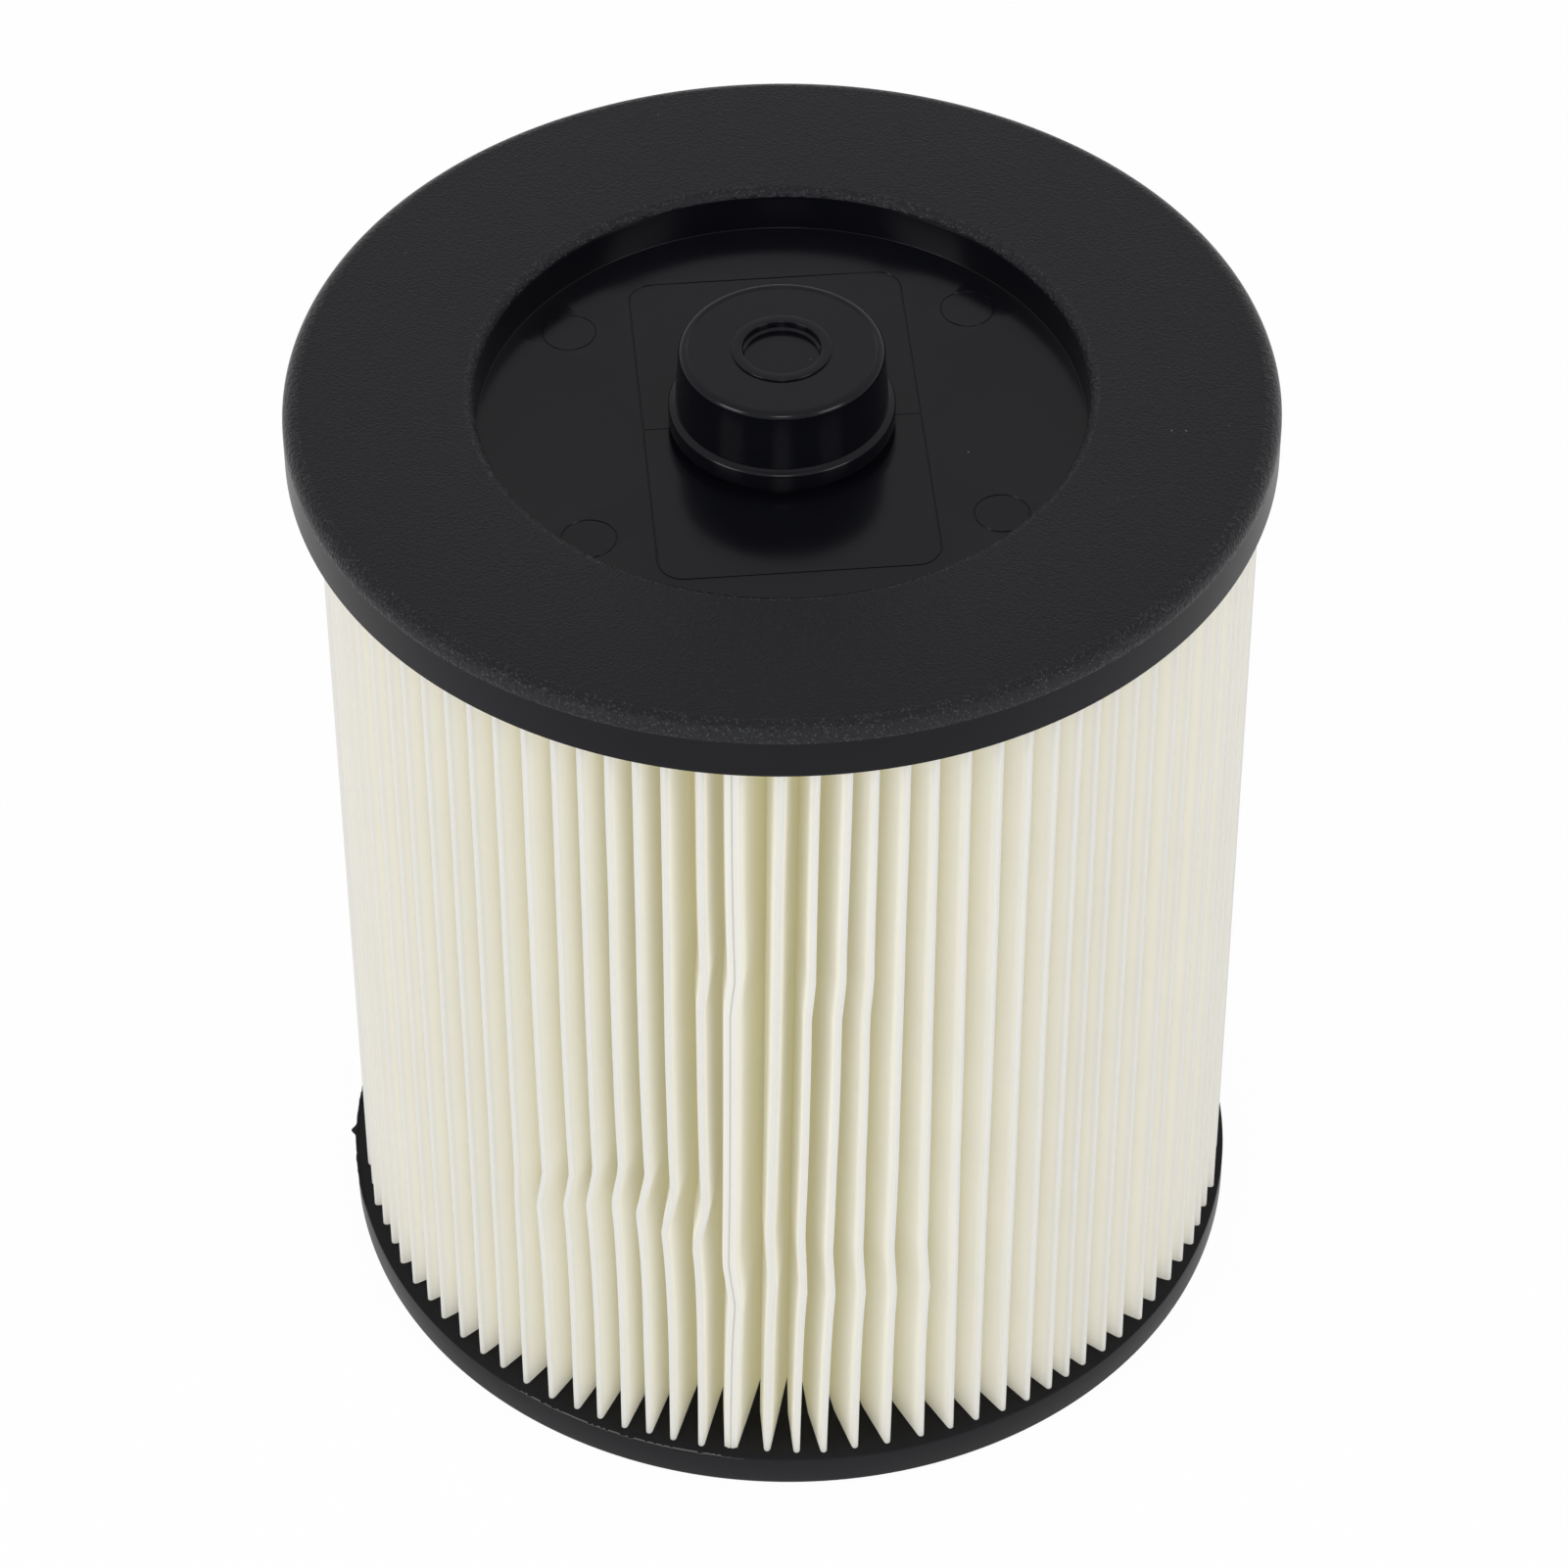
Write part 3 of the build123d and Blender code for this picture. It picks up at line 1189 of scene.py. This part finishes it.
        radius = depth.between(outer_radius, inner_radius)
        sideways = depth.between(outer_side, inner_side) * side
        nearness = depth.between(flank, inner_flank)
        mark = nearness * CREST_START + over_tip * (1.0 - CREST_START)

        # Kinks, a slow wander of each tip, and pushed folds
        height = rise * wires["Length"] + wires["Base"]
        for crease in self.creases:
            sideways = sideways + crease.shift(even, height) * nearness
        place = vector(tree, pleat * self.wander_jump, height * self.wander_rate)
        drift = (noise(tree, place, 1.0, 1.0) - 0.5) * wires["Wander"] * 2.0 * (1.0 - seam)
        sideways = sideways + drift * nearness
        fold_angle = even + side * (180.0 / self.pleats)
        for push in self.fold_pushes:
            turned = push.drift(fold_angle, rise).apply("RADIANS")
            sideways = sideways + turned * radius * (1.0 - nearness)

        angle = tip_angle.apply("RADIANS") + sideways / radius
        lean = nearness * nearness
        x = angle.apply("SINE") * radius + wires["Lean Right"] * lean
        y = angle.apply("COSINE") * radius * -1.0 - wires["Lean Front"] * lean
        marked = tree.nodes.new("GeometryNodeStoreNamedAttribute")
        marked.data_type = "FLOAT"
        marked.domain = "POINT"
        feed_all(tree, marked, Geometry=slab, Name=TIP_NEARNESS)
        feed(tree, next(slot for slot in marked.inputs if slot.name == "Value" and slot.enabled), mark)
        finish_tree(tree, moved(tree, marked.outputs["Geometry"], x, y, height), wires["Material"])
        return tree

    def build(self, materials: Materials) -> None:
        """Grows the strip between the ring and the potting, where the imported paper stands.

        Args:
            materials: The material of each finish.
        """
        values = {**self.sizes(), "Material": materials[PAPER]}
        strip = grow(self.name, self.tree(), values, self.sharp)
        keep(strip, "filter_paper", "pleated_media")


@dataclass(frozen=True)
class Flash:
    """A thin ragged skin of cast material that leaked along the ring's top edge.

    Attributes:
        name: The piece's name.
        start: First angle, in degrees from the front.
        end: Last angle.
        reach: How far it stands out past the ring at most, in millimetres.
        lift: How far its free edge rises, in millimetres.
        thickness: Its thickness, in millimetres.
        raggedness: Bites per degree of the free edge.
        seed: Fixes the shape of the free edge.
        spike_angle: Where one longer spike stands.
        spike: How much further that spike reaches, in millimetres.
        finish: The skin's finish, which on the front flash paints the ring edge's highlight in pale grey.
    """

    name: str
    start: float
    end: float
    reach: float
    lift: float
    thickness: float
    raggedness: float
    seed: float
    spike_angle: float
    spike: float
    finish: PlasticFinish


@dataclass
class CastRing:
    """The cast ring under the pleats, with its bore, the groove for the cage's foot and some flash.

    Sizes are in millimetres. The casting's rim stands a little off the axis of its bore, by the lean. A
    flash stands out where its noise is above bite_start, tapers off over end_taper of its length, and is
    thinner at its free edge by edge_thinning. Where it hardly stands out, it is sunk into the ring.
    """

    bore_radius: float = 60.0
    bore_lead_in: float = 1.5
    edge_break: float = 0.8
    top_round: float = 0.35
    groove_inner: float = 63.0
    groove_outer: float = 64.8
    groove_depth: float = 3.0
    segments: int = 256
    sharp: float = 32.0
    lean: Point = (0.75, -0.8)
    root_overlap: float = 0.3
    sunk: float = 0.25
    sunk_range: Point = (0.1, 0.4)
    bite_start: float = 0.32
    bite_gain: float = 2.2
    bite_detail: float = 5.0
    bite_roughness: float = 0.6
    end_taper: float = 0.12
    edge_thinning: float = 0.7
    below_edge: float = 0.6
    spike_narrowness: float = 1.6
    flash_points: tuple[int, int, int] = (221, 5, 2)
    flash_sharp: float = 40.0
    name: str = "bottom_ring_cast"
    flashes: tuple[Flash, ...] = (
        Flash("ring_flash_left", -100.0, -75.0, 0.35, 0.1, 0.5, 0.3, 3.1, -89.3, 0.9, CAST_RING),
        # The front flash is a real thin fin whose pale grey finish paints the bright highlight along the
        # ring's top edge.
        Flash("ring_flash_front_painted_highlight", -39.0, -6.0, 0.1, 0.16, 0.1, 0.9, 8.4, -22.0, 0.0, RING_FIN_PAINTED_HIGHLIGHT),
    )
    radius: float = field(init=False)
    thickness: float = field(init=False)

    def __post_init__(self) -> None:
        """Takes the ring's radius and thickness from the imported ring."""
        low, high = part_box("bottom_ring")
        self.radius = (high[0] - low[0]) / 2 / MM
        self.thickness = high[2] / MM

    def section(self) -> list[Point]:
        """The closed half section, from the bore over the top and back underneath.

        Returns:
            Radius and height of each corner.
        """
        return [
            (self.bore_radius, self.bore_lead_in),
            (self.bore_radius, self.thickness),
            (self.groove_inner, self.thickness),
            (self.groove_inner, self.thickness - self.groove_depth),
            (self.groove_outer, self.thickness - self.groove_depth),
            (self.groove_outer, self.thickness),
            *eased_edge((self.radius, self.thickness), self.top_round, Side.INWARD, 4),
            *reversed(mirrored(eased_edge((self.radius, 0), self.edge_break, Side.INWARD, 5), 0)),
            (self.bore_radius + self.bore_lead_in, 0),
        ]

    def flash_sizes(self, flash: Flash) -> dict[str, float]:
        """The flash tree's number inputs.

        Args:
            flash: The flash that is to be grown.

        Returns:
            The sizes by input name.
        """
        names = (
            "start", "end", "reach", "lift", "thickness", "raggedness", "seed", "spike_angle", "spike",
        )
        seat = {"Radius": self.radius, "Height": self.thickness, "Root": self.root_overlap, "Sunk": self.sunk}
        return {**titled(flash, names), **seat}

    def flash_tree(self) -> Tree:
        """Builds the geometry tree that bends a thin slab into a ragged skin along the ring's edge.

        Returns:
            The tree, with the skin's sizes as its inputs.
        """
        tree = bpy.data.node_groups.new("Casting Flash", "GeometryNodeTree")
        wires = add_inputs(tree, self.flash_sizes(self.flashes[0]))
        slab, (along, inward, up) = unit_slab(tree, *self.flash_points)
        outward = 1.0 - inward
        angle = along.between(wires["Start"], wires["End"])
        place = vector(tree, angle * wires["Raggedness"], wires["Seed"])
        ragged = noise(tree, place, 1.0, self.bite_detail, self.bite_roughness)
        bite = ((ragged - self.bite_start) * self.bite_gain).limited()
        ends = along.eased(0.0, self.end_taper) * (1.0 - along.eased(1 - self.end_taper, 1.0))
        extent = bite * ends
        beside = (angle - wires["Spike Angle"]) * self.spike_narrowness
        spike = (beside * beside).fading() * wires["Spike"]
        reach = wires["Root"] + wires["Reach"] * extent + spike
        radius = wires["Radius"] - wires["Root"] + outward * reach
        thin = 1.0 - outward * self.edge_thinning
        height = wires["Height"] + outward * outward * extent * wires["Lift"]
        height = height + (up - self.below_edge) * wires["Thickness"] * thin
        height = height - (1.0 - extent.eased(*self.sunk_range)) * wires["Sunk"]
        turn = angle.apply("RADIANS")
        x = turn.apply("SINE") * radius
        y = turn.apply("COSINE") * radius * -1.0
        finish_tree(tree, moved(tree, slab, x, y, height), wires["Material"])
        return tree

    def _shift_rim(self, piece: Piece) -> None:
        """Moves a piece's points by the lean, in full at the rim and not at all at the bore.

        Args:
            piece: The ring or one of its flashes.
        """
        for vertex in piece.data.vertices:
            radius = math.hypot(vertex.co.x, vertex.co.y) / MM
            share = (radius - self.bore_radius) / (self.radius - self.bore_radius)
            vertex.co.x += self.lean[0] * MM * share
            vertex.co.y += self.lean[1] * MM * share

    def build(self, materials: Materials) -> None:
        """Turns the ring and grows its flash.

        Args:
            materials: The material of each finish.
        """
        ring = lathe(self.name, self.section(), self.segments)
        self._shift_rim(ring)
        flatten(ring, self.sharp)
        ring.data.materials.append(materials[CAST_RING])
        keep(ring, "cast_ring", "bottom_ring")
        tree = self.flash_tree()
        for flash in self.flashes:
            values = {**self.flash_sizes(flash), "Material": materials[flash.finish]}
            skin = grow(flash.name, tree, values, self.flash_sharp)
            self._shift_rim(skin)
            keep(skin, "cast_ring")


@dataclass(frozen=True)
class SoftLamp:
    """A large soft lamp that points at the filter.

    Attributes:
        name: The lamp's name.
        place: Where it stands, in metres.
        width: Its side, in metres.
        power: Its power, in watts.
    """

    name: str
    place: tuple[float, float, float]
    width: float
    power: float

    def build(self, target: Vector) -> None:
        """Hangs the lamp.

        Args:
            target: What it points at, in metres.
        """
        data = bpy.data.lights.new(self.name, "AREA")
        data.shape = "SQUARE"
        data.size = self.width
        data.energy = self.power
        lamp = add_object(self.name, data)
        lamp.location = self.place
        lamp.rotation_euler = (target - lamp.location).to_track_quat("-Z", "Y").to_euler()


@dataclass
class Studio:
    """White floor, even surrounding light, soft lamps and the camera of the photograph.

    Lengths are in metres and angles in degrees.
    """

    lens_mm: float = 141.07
    sensor_mm: float = 36.0
    distance: float = 1.14306
    far_clip: float = 50.0
    aim_height: float = 0.09949
    elevation: float = 44.307
    roll: float = -0.309
    floor_side: float = 12.0
    floor_drop: float = 0.0001
    floor_shadow: float = 0.03
    floor_colour: Colour = (0.93, 0.93, 0.93)
    surround: float = 0.6
    lamps: tuple[SoftLamp, ...] = (
        SoftLamp("lamp_left", (-1.5, -1.1, 1.0), 0.8, 9.4),
        SoftLamp("lamp_right", (1.5, -1.2, 1.0), 0.8, 7.5),
        SoftLamp("lamp_front", (0.0, -2.0, 1.6), 0.6, 6.0),
    )

    def camera(self) -> None:
        """Sets the camera that fits the photograph."""
        data = bpy.data.cameras.new("camera")
        data.sensor_fit = "HORIZONTAL"
        data.sensor_width = self.sensor_mm
        data.lens = self.lens_mm
        data.clip_end = self.far_clip
        tilt = math.radians(self.elevation)
        back = Vector((0.0, -math.cos(tilt), math.sin(tilt)))
        right = Vector((1.0, 0.0, 0.0))
        up = back.cross(right)
        roll = math.radians(self.roll)
        turned_right = right * math.cos(roll) + up * math.sin(roll)
        turned_up = up * math.cos(roll) - right * math.sin(roll)
        axes = Matrix((turned_right, turned_up, back)).transposed().to_4x4()
        place = Vector((0, 0, self.aim_height)) + back * self.distance
        camera = add_object("camera", data)
        camera.matrix_world = Matrix.Translation(place) @ axes
        bpy.context.scene.camera = camera

    def floor(self) -> None:
        """Lays a floor that lights the filter as paint does, and that shows white with a faint shadow."""
        half = self.floor_side / 2
        corners = [(-half, -half, 0), (half, -half, 0), (half, half, 0), (-half, half, 0)]
        mesh = bpy.data.meshes.new("floor")
        mesh.from_pydata(corners, [], [(0, 1, 2, 3)])
        floor = add_object("floor", mesh)
        floor.location.z = -self.floor_drop
        material, tree, _ = new_material("floor_white")
        tree.nodes.clear()
        lit = add_node(tree, "ShaderNodeBsdfDiffuse", Color=(*self.floor_colour, 1.0))
        white = add_node(tree, "ShaderNodeEmission", Color=(*WHITE, 1.0), Strength=1.0)
        path = tree.nodes.new("ShaderNodeLightPath")
        mirrored_ray = Wire(tree, path.outputs["Is Glossy Ray"])
        seen = Wire(tree, path.outputs["Is Camera Ray"]).apply("MAXIMUM", mirrored_ray)
        mix = tree.nodes.new("ShaderNodeMixShader")
        terms = (seen * (1.0 - self.floor_shadow), lit.outputs[0], white.outputs[0])
        for slot, term in zip(mix.inputs, terms):
            feed(tree, slot, term)
        add_node(tree, "ShaderNodeOutputMaterial", Surface=mix.outputs[0])
        mesh.materials.append(material)

    def surroundings(self) -> None:
        """Sets the even light round the filter."""
        world = bpy.data.worlds.new("surroundings")
        world.use_nodes = True
        background = world.node_tree.nodes["Background"]
        background.inputs["Color"].default_value = (*WHITE, 1.0)
        background.inputs["Strength"].default_value = self.surround
        bpy.context.scene.world = world

    def build(self) -> None:
        """Sets up the whole studio."""
        self.surroundings()
        self.floor()
        for lamp in self.lamps:
            lamp.build(Vector((0.0, 0.0, self.aim_height)))
        self.camera()
        bpy.context.scene.view_settings.view_transform = "Standard"


def dress_node(name: str, material: Material) -> None:
    """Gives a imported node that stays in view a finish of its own.

    Args:
        name: The node's name.
        material: Its finish.
    """
    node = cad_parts[name]
    node.data.materials.clear()
    node.data.materials.append(material)
    LOG.info("%s: packed node kept", name)


def main() -> None:
    """Builds the studio and the pieces, in that order."""
    logging.basicConfig(level=logging.INFO, format="%(name)s %(message)s")
    Studio().build()
    effects = {"grain": Effects.grain(), "specks": Effects.specks()}
    materials: Materials = {plastic: plastic.build(effects) for plastic in PLASTICS}
    materials[PAPER] = PAPER.build()
    TopCap().build(materials)
    PleatedPaper().build(materials)
    CastRing().build(materials)
    dress_node("support_cage", materials[CAGE])
    dress_node("top_potting", materials[POTTING])


if __name__ == "__main__":
    main()
